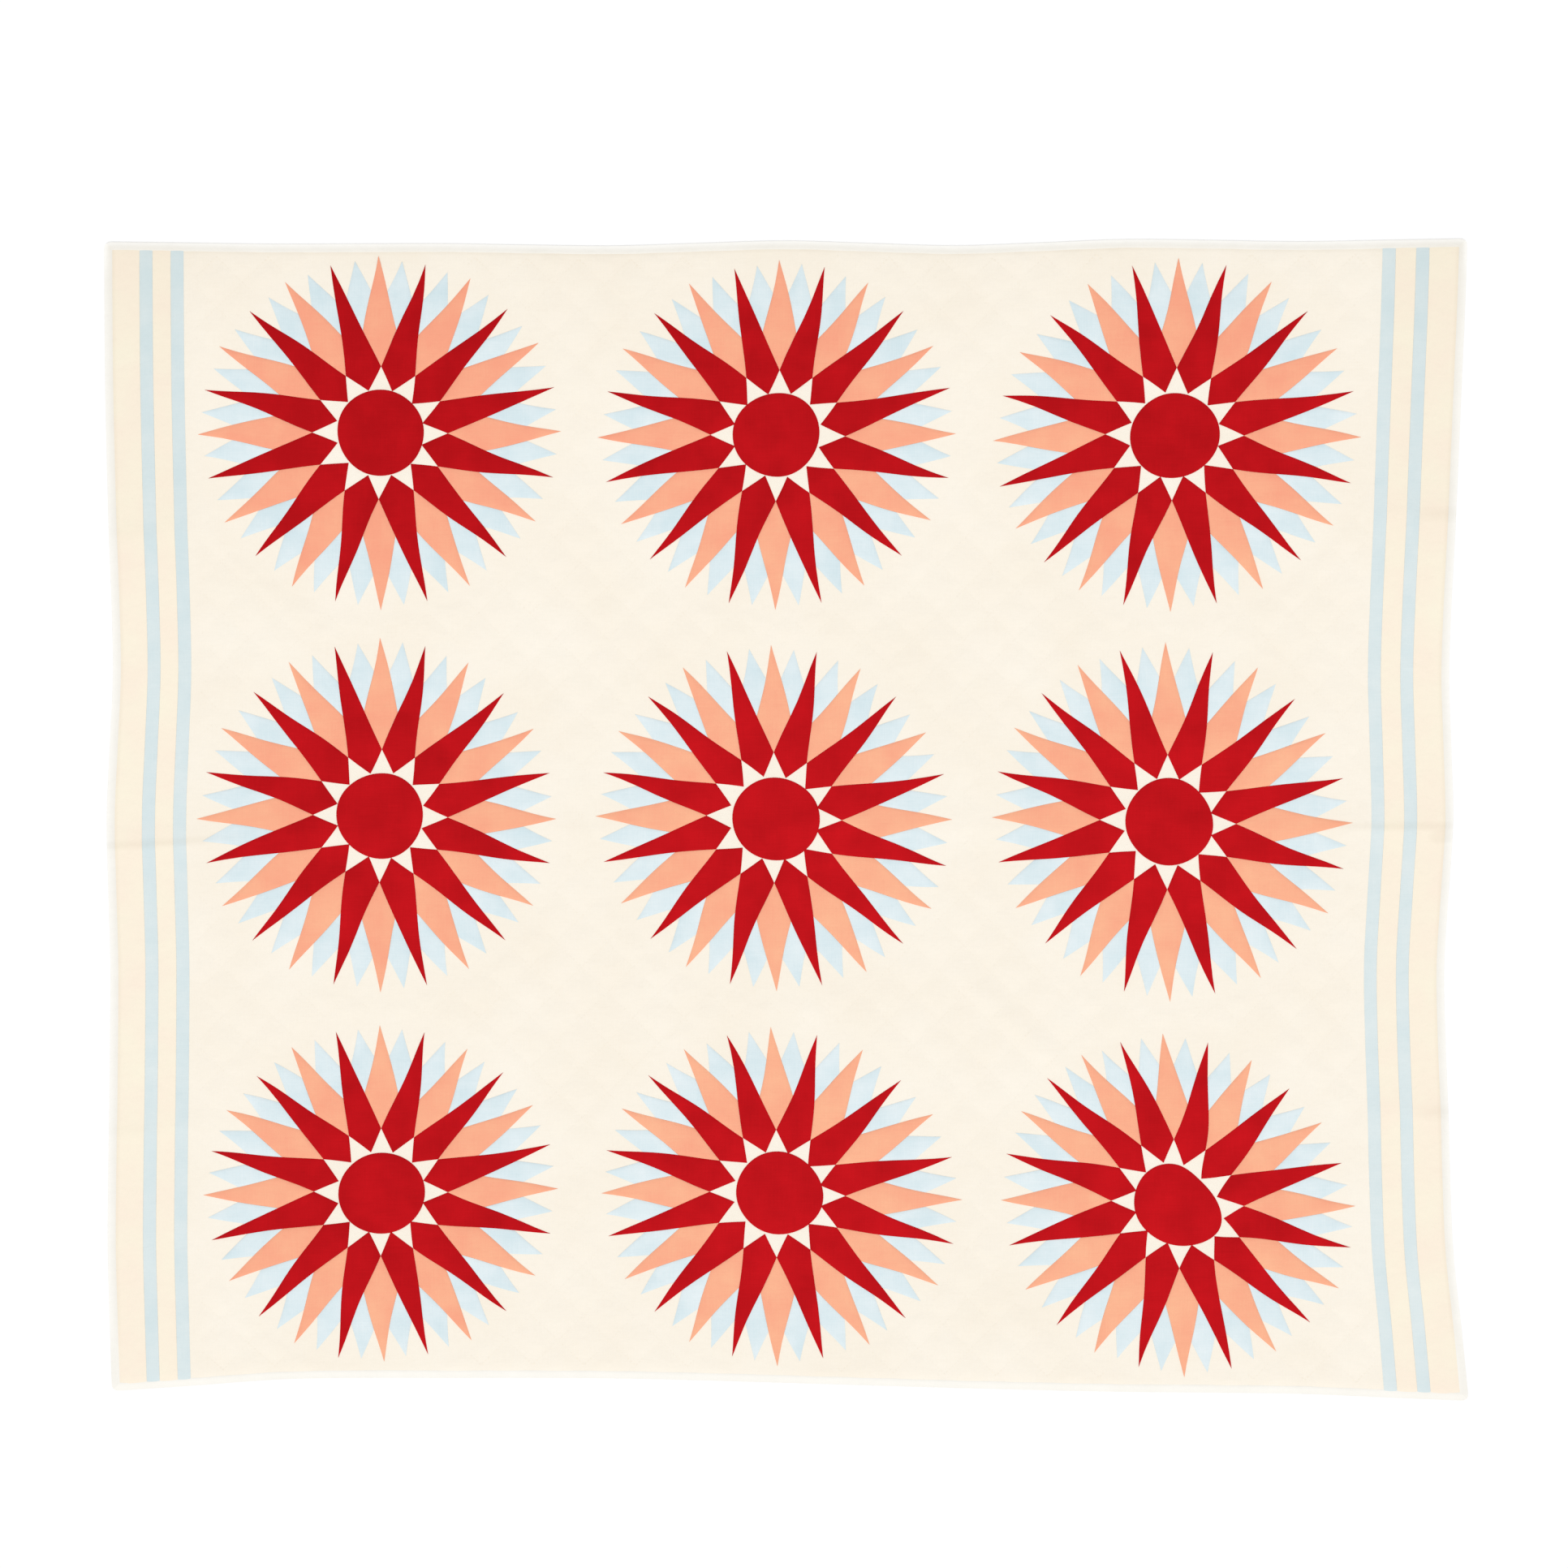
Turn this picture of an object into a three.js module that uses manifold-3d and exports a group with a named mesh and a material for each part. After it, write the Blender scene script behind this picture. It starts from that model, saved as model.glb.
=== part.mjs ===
// An applique quilt lying face up on a floor: nine sunburst medallions on a quilted cream ground,
// pieced borders down both sides and a narrow binding round the edge.
// Millimetres, +Z up, +X to the right of the face, +Y to its top edge, origin under its middle.
import * as THREE from 'three';
import { mergeVertices } from 'three/addons/utils/BufferGeometryUtils.js';
import Module from 'manifold-3d';

const wasm = await Module();
wasm.setup();

// Finished outline: the four corners, and how far each edge draws in from the straight line
// between its corners, at eighths of its length.
const CORNERS = {
  topLeft: new THREE.Vector2(-1051, 890),
  topRight: new THREE.Vector2(1049, 895),
  bottomRight: new THREE.Vector2(1051, -895),
  bottomLeft: new THREE.Vector2(-1039, -880),
};
const EDGES = [
  { name: 'top', from: 'topLeft', to: 'topRight', drawnIn: [0, 4, 4, 8, 1, 9, 0, 4, 0] },
  { name: 'right', from: 'topRight', to: 'bottomRight', drawnIn: [0, 9, 19, 29, 23, 37, 31, 23, 0] },
  { name: 'bottom', from: 'bottomRight', to: 'bottomLeft', drawnIn: [0, 9, 10, 14, 20, 25, 24, 20, 0] },
  { name: 'left', from: 'bottomLeft', to: 'topLeft', drawnIn: [0, -5, -1, 2, -2, 9, 4, 0, 0] },
];
const EDGE_STEPS = 16;

// Cloth: the height of the quilted ground along its sewn lines, the thickness of a patch, the hair of
// air between a patch and what it is sewn to, and how deep the raised forms are rooted in the ground.
const GROUND = 3.6;
const PATCH = 0.6;
const DISC_PATCH = 0.9;
const GAP = 0.3;
const ABOVE_ALL = 20;
const ROOT = 1;
const SAME_POINT = 1e-4;

// Quilting: diamonds that puff up between two sets of slanting sewn lines, wherever the ground is bare.
const DIAMOND_HALF = 40;
const DIAMOND_CLEAR = 3;
const STITCH_HALF = 1.5;
const PUFF_HEIGHT = 1.5;
const PUFF_CROWN = 0.45;
const PUFF_UNEVEN = { share: 0.25, acrossX: 61, acrossY: 83 };
const DIAMOND_SAMPLES = [-1, -0.5, 0, 0.5, 1];

// Storage creases: low ridges across the cloth. The middle one runs right across and bends down towards
// the left edge; the others show in the side borders only and die away inside them.
const CREASE_HALF = 45;
const CREASE_BEND = { x: -560, edgeX: -1120, drop: 32 };
const MIDDLE_CREASE = { y: -10, rise: 2.4 };
const SIDE_CREASES = [
  { y: 470, rise: 1.6 },
  { y: -450, rise: 1.6 },
];
const CREASE_FADE = { from: 885, to: 920 };

// Binding: a strip folded over the thin rim of the body, mitred at the corners.
const BINDING_WIDTH = 12;
const BINDING_WALL = 1;
const BINDING_HEIGHT = 4.4;
const BINDING_ROLL = 1.2;
const MITRE_CLEAR = 0.22;

// Pieced side borders: how far the inner side of each strip is from the left and from the right edge.
const SIDE_STRIPS = [
  { name: 'border', colour: 'border', left: 55.5, right: 59 },
  { name: 'stripe_outer', colour: 'blue', left: 74.5, right: 78 },
  { name: 'band', colour: 'border', left: 103.5, right: 109.5 },
  { name: 'stripe_inner', colour: 'blue', left: 122.5, right: 128.5 },
];
const BORDER_WIDTH = SIDE_STRIPS.at(-1).right;

// Sunburst medallions by row and column: centre, half width and half height at the tips, and how far
// the hand-laid star turns and leans, in degrees.
const MEDALLIONS = [
  { name: 'r1c1', x: -626, y: 595, wide: 280, tall: 272, turn: -0.1, lean: 0.1 },
  { name: 'r1c2', x: -14, y: 592, wide: 276, tall: 270, turn: 0.2, lean: -1.2 },
  { name: 'r1c3', x: 598, y: 591, wide: 283, tall: 273, turn: 0.2, lean: -2 },
  { name: 'r2c1', x: -626, y: 6, wide: 277, tall: 273, turn: -0.5, lean: -0.4 },
  { name: 'r2c2', x: -20, y: 3, wide: 274, tall: 267, turn: -0.7, lean: 0.1 },
  { name: 'r2c3', x: 588, y: -3, wide: 278, tall: 276, turn: -1.5, lean: 0.1 },
  { name: 'r3c1', x: -624, y: -574, wide: 273, tall: 264, turn: 0.7, lean: 0 },
  { name: 'r3c2', x: -14, y: -577, wide: 278, tall: 262, turn: -1.6, lean: 0.8 },
  { name: 'r3c3', x: 601, y: -590, wide: 273, tall: 265, turn: -1.4, lean: 3.2 },
];

// One sunburst, in parts of the radius of its peach tips. Its stars lie one over the other, so that a
// star's valleys are hidden by the points above. The red points stand half a step off the peach ones.
const RED_POINTS = 12;
const BLUE_POINTS = 24;
const BLUE_TIP = 0.98;
const BLUE_VALLEY = 0.722;
const BLUE_HOLE = 0.43;
const PEACH_VALLEY = 0.47;
const PEACH_HOLE = 0.38;
const RED_TIP = 0.99;
const RED_VALLEY = 0.3745;
const RED_NECK = 0.0145;
const RED_INNER = 0.2425;
const DISC_RADIUS = 0.2405;
const DISC_SIDES = 24;

const COLOURS = { cream: 0xfbf3e5, border: 0xfbefde, blue: 0xddebee, peach: 0xfdb18f, red: 0xbf141b };
const CLOTH_FINISH = { roughness: 0.9, metalness: 0 };

for (const edge of EDGES) {
  edge.wave = new THREE.SplineCurve(edge.drawnIn.map((depth, i) => new THREE.Vector2(i, depth)));
}

// Points on the edges, moved in from the outline

function insetCorner(name, insetX, insetY) {
  const corner = CORNERS[name];
  const x = corner.x - Math.sign(corner.x) * insetX;
  const y = corner.y - Math.sign(corner.y) * insetY;
  return new THREE.Vector2(x, y);
}

function edgePoint(edge, along, insetX, insetY) {
  const from = insetCorner(edge.from, insetX, insetY);
  const run = insetCorner(edge.to, insetX, insetY).sub(from);
  const inward = new THREE.Vector2(run.y, -run.x).normalize();
  return from.addScaledVector(run, along).addScaledVector(inward, edge.wave.getPoint(along).y);
}

function edgeLine(edge, insetX, insetY) {
  return Array.from({ length: EDGE_STEPS + 1 }, (_, i) => edgePoint(edge, i / EDGE_STEPS, insetX, insetY));
}

function outline(inset) {
  return EDGES.flatMap((edge) => edgeLine(edge, inset, inset).slice(0, EDGE_STEPS));
}

// Solids

function toSolid(geometry) {
  geometry.deleteAttribute('normal');
  geometry.deleteAttribute('uv');
  const merged = mergeVertices(geometry, SAME_POINT);
  const vertProperties = new Float32Array(merged.attributes.position.array);
  const triVerts = new Uint32Array(merged.index.array);
  return new wasm.Manifold(new wasm.Mesh({ numProp: 3, vertProperties, triVerts }));
}

function toGeometry(solid) {
  const mesh = solid.getMesh();
  const geometry = new THREE.BufferGeometry();
  geometry.setAttribute('position', new THREE.BufferAttribute(mesh.vertProperties, 3));
  geometry.setIndex(new THREE.BufferAttribute(mesh.triVerts, 1));
  geometry.computeVertexNormals();
  return geometry;
}

function prism(points, bottom, top, hole = []) {
  const shape = new THREE.Shape(points);
  if (hole.length > 0) {
    shape.holes.push(new THREE.Path(hole));
  }
  const geometry = new THREE.ExtrudeGeometry(shape, { depth: top - bottom, bevelEnabled: false });
  return toSolid(geometry.translate(0, 0, bottom));
}

// Joins rings of points, one after the other, into a closed body with flat ends. Each ring has the
// corners of the section, which goes round anticlockwise as the last ring's outside is seen.
function loft(rings, section) {
  const size = section.length;
  const last = (rings.length - 1) * size;
  const index = [];
  for (let start = 0; start < last; start += size) {
    for (let i = 0; i < size; i += 1) {
      const a = start + i;
      const b = start + ((i + 1) % size);
      index.push(a, b, b + size, a, b + size, a + size);
    }
  }
  for (const [a, b, c] of THREE.ShapeUtils.triangulateShape(section, [])) {
    index.push(a, c, b, last + a, last + b, last + c);
  }
  const geometry = new THREE.BufferGeometry().setFromPoints(rings.flat());
  geometry.setIndex(index);
  return geometry;
}

// The lie of the cloth

function creaseBend(x) {
  const { x: bendX, edgeX, drop } = CREASE_BEND;
  return -drop * THREE.MathUtils.clamp((bendX - x) / (bendX - edgeX), 0, 1);
}

// A body that keeps one section in Y and Z from the left of the quilt to the right, along the bent crease.
function acrossQuilt(section, stations) {
  const rings = stations.map(({ x, lift = 0 }) => section.map(({ x: y, y: z }) => {
    return new THREE.Vector3(x, y + creaseBend(x), z + lift);
  }));
  return toSolid(loft(rings, section));
}

const FULL_WIDTH = [{ x: CREASE_BEND.edgeX }, { x: CREASE_BEND.x }, { x: -CREASE_BEND.edgeX }];

// Section points over the creases from the lowest to the highest on the quilt, at a height over the floor.
function creasedLine(creases, height) {
  const ends = CORNERS.topRight.y + CREASE_BEND.drop;
  const ridges = [...creases].sort((a, b) => a.y - b.y).flatMap(({ y, rise }) => [
    new THREE.Vector2(y - CREASE_HALF, height),
    new THREE.Vector2(y, height + rise),
    new THREE.Vector2(y + CREASE_HALF, height),
  ]);
  return [new THREE.Vector2(-ends, height), ...ridges, new THREE.Vector2(ends, height)];
}

// A patch of cloth with the given outline, lying over so many layers of other patches and the creases.
function patch(points, level, thickness, creases, hole = []) {
  const bottom = GROUND + GAP + level * (PATCH + GAP);
  if (creases.length === 0) {
    return prism(points, bottom, bottom + thickness, hole);
  }
  const section = [...creasedLine(creases, bottom), ...creasedLine(creases, bottom + thickness).reverse()];
  return acrossQuilt(section, FULL_WIDTH).intersect(prism(points, 0, ABOVE_ALL, hole));
}

// Quilted body

function ridgeSection(crease) {
  const [, low, crest, high] = creasedLine([crease], GROUND);
  const root = GROUND - ROOT;
  return [new THREE.Vector2(low.x, root), new THREE.Vector2(high.x, root), high, crest, low];
}

// A side ridge keeps its height under the border and sinks into the ground inside it.
function sideRidge(crease, side) {
  const stations = [
    { x: side * CREASE_FADE.from, lift: -crease.rise - ROOT },
    { x: side * CREASE_FADE.to },
    { x: side * -CREASE_BEND.edgeX },
  ];
  return acrossQuilt(ridgeSection(crease), side > 0 ? stations : stations.reverse());
}

function mostDrawnIn(edgeName) {
  return Math.max(...EDGES.find(({ name }) => name === edgeName).drawnIn);
}

function isBareGround(x, y) {
  const halfWidth = CORNERS.topRight.x - BORDER_WIDTH - mostDrawnIn('right');
  const halfHeight = -CORNERS.bottomLeft.y - BINDING_WIDTH - mostDrawnIn('bottom');
  const onCrease = Math.abs(y - MIDDLE_CREASE.y - creaseBend(x)) < CREASE_HALF;
  const inMedallion = MEDALLIONS.some((star) => {
    const across = (x - star.x) / (star.wide + DIAMOND_CLEAR);
    const up = (y - star.y) / (star.tall + DIAMOND_CLEAR);
    return across * across + up * up < 1;
  });
  return Math.abs(x) < halfWidth && Math.abs(y) < halfHeight && !onCrease && !inMedallion;
}

function diamondIsBare(x, y) {
  return DIAMOND_SAMPLES.every((step) => {
    const across = step * DIAMOND_HALF;
    const up = DIAMOND_HALF - Math.abs(across);
    return isBareGround(x + across, y + up) && isBareGround(x + across, y - up);
  });
}

function puff(x, y) {
  const { share, acrossX, acrossY } = PUFF_UNEVEN;
  const height = PUFF_HEIGHT * (1 + share * Math.sin(x / acrossX + y / acrossY));
  const edge = DIAMOND_HALF - STITCH_HALF;
  const crown = edge * PUFF_CROWN;
  const root = edge + ((edge - crown) * ROOT) / height;
  const geometry = new THREE.CylinderGeometry(crown, root, height + ROOT, 4);
  geometry.rotateX(Math.PI / 2);
  return toSolid(geometry.translate(x, y, GROUND + (height - ROOT) / 2));
}

function puffs() {
  const columns = Math.floor(CORNERS.topRight.x / DIAMOND_HALF);
  const rows = Math.floor(CORNERS.topRight.y / DIAMOND_HALF);
  const found = [];
  for (let column = -columns; column <= columns; column += 1) {
    for (let row = -rows; row <= rows; row += 1) {
      const x = column * DIAMOND_HALF;
      const y = row * DIAMOND_HALF;
      if ((column + row) % 2 !== 0 && diamondIsBare(x, y)) {
        found.push(puff(x, y));
      }
    }
  }
  return found;
}

function quiltBody() {
  const core = outline(BINDING_WIDTH + GAP);
  const ridges = SIDE_CREASES.flatMap((crease) => [sideRidge(crease, -1), sideRidge(crease, 1)]);
  const middle = acrossQuilt(ridgeSection(MIDDLE_CREASE), FULL_WIDTH);
  const creased = ridges.reduce((joined, ridge) => joined.add(ridge), middle);
  const trimmed = creased.intersect(prism(core, 0, ABOVE_ALL)).add(prism(core, 0, GROUND));
  const quilted = puffs().reduce((joined, raised) => joined.add(raised), trimmed);
  const rim = prism(
    outline(2 * BINDING_WALL + GAP),
    BINDING_WALL + GAP,
    BINDING_HEIGHT - BINDING_WALL - GAP,
  );
  return quilted.add(rim);
}

// Edge and border strips

function bindingSection() {
  const wall = BINDING_WALL;
  const roll = BINDING_ROLL;
  const top = BINDING_HEIGHT;
  const points = [
    { depth: BINDING_WIDTH, height: 0 },
    { depth: BINDING_WIDTH, height: wall },
    { depth: 2 * wall, height: wall },
    { depth: 2 * wall, height: top - wall },
    { depth: BINDING_WIDTH, height: top - wall },
    { depth: BINDING_WIDTH, height: top - wall / 4 },
    { depth: BINDING_WIDTH / 2, height: top },
    { depth: roll, height: top - roll / 2 },
    { depth: 0, height: top / 2 },
    { depth: roll, height: roll / 2 },
    { depth: 2 * roll, height: 0 },
  ];
  return points.map(({ depth, height }) => new THREE.Vector2(depth, height));
}

function bindingStrip(edge) {
  const section = bindingSection();
  const clear = MITRE_CLEAR / CORNERS[edge.from].distanceTo(CORNERS[edge.to]);
  const rings = Array.from({ length: EDGE_STEPS + 1 }, (_, step) => {
    const along = THREE.MathUtils.clamp(1 - step / EDGE_STEPS, clear, 1 - clear);
    return section.map(({ x: depth, y: height }) => {
      const point = edgePoint(edge, along, depth, depth);
      return new THREE.Vector3(point.x, point.y, height);
    });
  });
  return loft(rings, section);
}

function sideStrip(edge, outer, inner) {
  const outerLine = edgeLine(edge, outer + GAP / 2, 0);
  const innerLine = edgeLine(edge, inner - GAP / 2, 0);
  const creases = [MIDDLE_CREASE, ...SIDE_CREASES];
  const whole = patch([...outerLine, ...innerLine.reverse()], 0, PATCH, creases);
  return whole.intersect(prism(outline(BINDING_WIDTH + GAP), 0, ABOVE_ALL));
}

// Medallions

// Corners of a star, from one of its first radius on the +X axis.
function star(points, first, second) {
  return Array.from({ length: 2 * points }, (_, i) => {
    const angle = (Math.PI * i) / points;
    const radius = i % 2 === 0 ? first : second;
    return new THREE.Vector2(radius * Math.cos(angle), radius * Math.sin(angle));
  });
}

function polygon(sides, radius, turn) {
  return Array.from({ length: sides }, (_, i) => {
    const angle = (2 * Math.PI * i) / sides + turn;
    return new THREE.Vector2(radius * Math.cos(angle), radius * Math.sin(angle));
  });
}

function laidOut(points, medallion) {
  const turn = Math.tan(THREE.MathUtils.degToRad(medallion.turn));
  const lean = Math.tan(THREE.MathUtils.degToRad(medallion.lean));
  return points.map((point) => {
    const across = point.x * medallion.wide;
    const up = point.y * medallion.tall;
    return new THREE.Vector2(medallion.x + across - up * lean, medallion.y + up + across * turn);
  });
}

function medallionPatches(medallion) {
  const place = (points) => laidOut(points, medallion);
  const onCrease = Math.abs(medallion.y - MIDDLE_CREASE.y) < medallion.tall + CREASE_HALF;
  const creases = onCrease ? [MIDDLE_CREASE] : [];
  const halfStep = Math.PI / RED_POINTS;
  const blueHole = place(polygon(RED_POINTS, BLUE_HOLE, halfStep));
  const peachHole = place(polygon(RED_POINTS, PEACH_HOLE, halfStep));
  const redHole = place(star(RED_POINTS, RED_VALLEY - RED_NECK, RED_INNER));
  const blue = patch(place(star(BLUE_POINTS, BLUE_VALLEY, BLUE_TIP)), 0, PATCH, creases, blueHole);
  const peach = patch(place(star(RED_POINTS, 1, PEACH_VALLEY)), 1, PATCH, creases, peachHole);
  const red = patch(place(star(RED_POINTS, RED_VALLEY, RED_TIP)), 2, PATCH, creases, redHole);
  const disc = patch(place(polygon(DISC_SIDES, DISC_RADIUS, 0)), 0, DISC_PATCH, creases);
  return [
    { name: `blue_points_${medallion.name}`, colour: 'blue', solid: blue },
    { name: `peach_points_${medallion.name}`, colour: 'peach', solid: peach },
    { name: `red_points_${medallion.name}`, colour: 'red', solid: red },
    { name: `sun_disc_${medallion.name}`, colour: 'red', solid: disc },
  ];
}

// The quilt

const quilt = new THREE.Group();
quilt.name = 'applique_quilt';

function addPiece(name, colour, geometry) {
  const material = new THREE.MeshStandardMaterial({ color: COLOURS[colour], ...CLOTH_FINISH });
  const mesh = new THREE.Mesh(geometry, material);
  mesh.name = name;
  quilt.add(mesh);
}

addPiece('quilt_body', 'cream', toGeometry(quiltBody()));
for (const edge of EDGES) {
  addPiece(`binding_${edge.name}`, 'cream', bindingStrip(edge));
}
for (const edge of EDGES.filter(({ name }) => name === 'left' || name === 'right')) {
  let outer = 0;
  for (const { name, colour, [edge.name]: inner } of SIDE_STRIPS) {
    addPiece(`${name}_${edge.name}`, colour, toGeometry(sideStrip(edge, outer, inner)));
    outer = inner;
  }
}
for (const medallion of MEDALLIONS) {
  for (const { name, colour, solid } of medallionPatches(medallion)) {
    addPiece(name, colour, toGeometry(solid));
  }
}

export default quilt;
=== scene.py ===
# %% [markdown]
# # A sunburst applique quilt, laid out flat
# The quilt is a cream bed cover of two cloths with thin batting between them. Nine sunburst medallions
# are sewn on to its face, striped borders run down its two sides, and a narrow binding closes its edge.
# The solids come in as a fixed frame that says where everything lies. Each cloth is then made again here,
# finer and softer, and put where its solid is. Lengths are in metres: X runs to the right of the quilt's
# face, Y to its top edge, and Z up out of it.

# %% Load the frame
import math
from contextlib import contextmanager

import bpy
import numpy as np
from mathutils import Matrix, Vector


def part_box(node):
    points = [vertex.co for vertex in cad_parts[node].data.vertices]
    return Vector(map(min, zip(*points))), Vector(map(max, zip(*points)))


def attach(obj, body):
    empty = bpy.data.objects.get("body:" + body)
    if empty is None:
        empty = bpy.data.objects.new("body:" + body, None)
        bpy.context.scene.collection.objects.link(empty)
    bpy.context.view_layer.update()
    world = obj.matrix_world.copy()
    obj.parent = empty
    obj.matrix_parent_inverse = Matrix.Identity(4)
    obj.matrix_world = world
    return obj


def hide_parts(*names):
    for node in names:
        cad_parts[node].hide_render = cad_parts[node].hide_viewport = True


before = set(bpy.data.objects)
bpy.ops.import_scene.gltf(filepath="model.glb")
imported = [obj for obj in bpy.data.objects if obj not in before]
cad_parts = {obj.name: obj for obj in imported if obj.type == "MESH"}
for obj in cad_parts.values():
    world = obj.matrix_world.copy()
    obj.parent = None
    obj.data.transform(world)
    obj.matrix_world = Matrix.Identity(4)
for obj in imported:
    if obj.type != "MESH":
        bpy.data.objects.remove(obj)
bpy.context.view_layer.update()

# %% [markdown]
# The photograph looks straight down at the quilt's face. A camera with no rotation looks down the Z axis,
# so it only needs its place and its lens. It stands far off, so that the corners come out as large as the
# middle. Operators act on all that is selected, so a helper deselects everything, then adds an object.

# %% Camera
PHOTO_SIDE = 1932  # pixels, both ways
METRES_PER_PIXEL = 0.00125  # at the quilt's face
FRAME_ORIGIN_PIXEL = (969, 1010)
CAMERA_HEIGHT = 6.0


def added(name, operator, **settings):
    """Add one new object with an operator, alone in the selection, and name it."""
    bpy.ops.object.select_all(action="DESELECT")
    operator(**settings)
    bpy.context.object.name = name
    return bpy.context.object


camera_place = (
    (PHOTO_SIDE / 2 - FRAME_ORIGIN_PIXEL[0]) * METRES_PER_PIXEL,
    (FRAME_ORIGIN_PIXEL[1] - PHOTO_SIDE / 2) * METRES_PER_PIXEL,
    CAMERA_HEIGHT,
)
camera = added("camera", bpy.ops.object.camera_add, location=camera_place, rotation=(0, 0, 0))
camera.data.lens = camera.data.sensor_width * CAMERA_HEIGHT / (PHOTO_SIDE * METRES_PER_PIXEL)
bpy.context.scene.camera = camera
print("lens, mm:", round(camera.data.lens, 2))

# %% [markdown]
# The photograph is bright and even, with a white floor and no shadow that can be seen. A plain white sky
# lights the cloth from all sides, and a wide, weak sun from beyond the bottom edge gives folds and seams
# a little shape: the binding is brightest at the bottom and greyest at the top. The Standard view keeps
# whites white, where Blender's usual view would grey them.

# %% Floor and light
SKY_STRENGTH = 0.82
SUN_STRENGTH = 1.00
SUN_SPREAD = math.radians(50)
SUN_TILT = math.radians(32)  # from straight above towards the quilt's bottom edge
FLOOR_SIDE = 300  # so far that a low view never sees its end
FLOOR_DROP = 0.0002  # the floor lies just under the quilt, so that the two never flicker

floor = added("floor", bpy.ops.mesh.primitive_plane_add, size=FLOOR_SIDE, location=(0, 0, -FLOOR_DROP))

sky = bpy.data.worlds.new("white sky")
sky.use_nodes = True
sky.node_tree.nodes["Background"].inputs["Color"].default_value = (1, 1, 1, 1)
sky.node_tree.nodes["Background"].inputs["Strength"].default_value = SKY_STRENGTH
bpy.context.scene.world = sky
bpy.context.scene.view_settings.view_transform = "Standard"

sun = added("sun", bpy.ops.object.light_add, type="SUN", rotation=(SUN_TILT, 0, 0))
sun.data.energy = SUN_STRENGTH
sun.data.angle = SUN_SPREAD
print("lit by a sky of", SKY_STRENGTH, "and a sun of", SUN_STRENGTH)

# %% [markdown]
# A quilt that has been used is no longer a true rectangle: its edges wave, and its right and bottom sides
# are drawn in. The binding solids carry that outline, so it is read from them and not measured a second
# time. The outermost points of a binding strip are the ones at half its height.

# %% The laid outline
SAME_HEIGHT = 1e-5  # metres


def places_of(mesh):
    """The mesh's vertices as rows of X, Y and Z."""
    places = np.empty(len(mesh.vertices) * 3)
    mesh.vertices.foreach_get("co", places)
    return places.reshape(-1, 3)


def rim_of(binding, axis):
    """The outermost points of one binding strip, in order along X (0) or Y (1)."""
    places = places_of(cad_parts[binding].data)
    half_height = (places[:, 2].min() + places[:, 2].max()) / 2
    rim = places[np.abs(places[:, 2] - half_height) < SAME_HEIGHT, :2]
    rim = np.unique(rim.round(5), axis=0)
    return rim[np.argsort(rim[:, axis])]


EDGE_AXES = {"top": 0, "bottom": 0, "left": 1, "right": 1}
rims = {edge: rim_of(f"binding_{edge}", axis) for edge, axis in EDGE_AXES.items()}
print("points on each edge:", {edge: len(rim) for edge, rim in rims.items()})

# %% [markdown]
# Each edge has only a few such points, so a smooth curve is led through them. How far that curve leaves
# the straight line between the edge's two ends is the wave of the edge.

# %% Waves of the edges
def along_rim(rim, part):
    """Points at the given parts, 0 to 1, of the way along a smooth curve through the rim's points."""
    last = len(rim) - 1
    place = np.clip(part, 0, 1) * last
    start = np.minimum(place.astype(int), last - 1)
    step = (place - start)[:, None]
    longer = np.vstack([2 * rim[0] - rim[1], rim, 2 * rim[-1] - rim[-2]])
    before, here, there, after = (longer[start + shift] for shift in range(4))
    leave, arrive = (there - before) / 2, (after - here) / 2
    return (
        (2 * step**3 - 3 * step**2 + 1) * here
        + (step**3 - 2 * step**2 + step) * leave
        + (3 * step**2 - 2 * step**3) * there
        + (step**3 - step**2) * arrive
    )


def wave_of(edge, part):
    """How far an edge leaves the straight line between its two corners."""
    rim = rims[edge]
    return along_rim(rim, part) - rim[0] - part[:, None] * (rim[-1] - rim[0])


print("wave of the left edge, half way up:", wave_of("left", np.array([0.5])).round(4).tolist())

# %% [markdown]
# Everything on the quilt was straight when it was cut. So each piece is drawn on the flat cloth, in u and
# v from its bottom left corner, and one function says where a point of it lies now: it stretches the
# cloth between the four corners, adds the waves of the edges, which fade towards the middle, and rounds
# the corners, where the binding was folded.

# %% From the flat cloth to the laid one
FLAT_WIDTH = 2.10
FLAT_LENGTH = 1.79
CORNER_ROUND = 0.010
WAVE_FADES = 3  # power of the fading: 1 would carry the waves right across the cloth
NOT_ZERO = 1e-9  # keeps a division from failing


def off_edges(u, v):
    """How far points of the flat cloth are from its nearer side, and from its nearer end."""
    return np.minimum(u, FLAT_WIDTH - u), np.minimum(v, FLAT_LENGTH - v)


def round_corners(u, v):
    """Draw in the corners of the flat cloth to a quarter circle."""
    reach_u, reach_v = (np.clip(1 - off / CORNER_ROUND, 0, 1) for off in off_edges(u, v))
    length = np.maximum(np.hypot(reach_u, reach_v), NOT_ZERO)
    pull = 1 - np.maximum(reach_u, reach_v) / length
    inward_u = np.where(u < FLAT_WIDTH / 2, 1, -1) * CORNER_ROUND * reach_u * pull
    inward_v = np.where(v < FLAT_LENGTH / 2, 1, -1) * CORNER_ROUND * reach_v * pull
    return u + inward_u, v + inward_v


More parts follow.
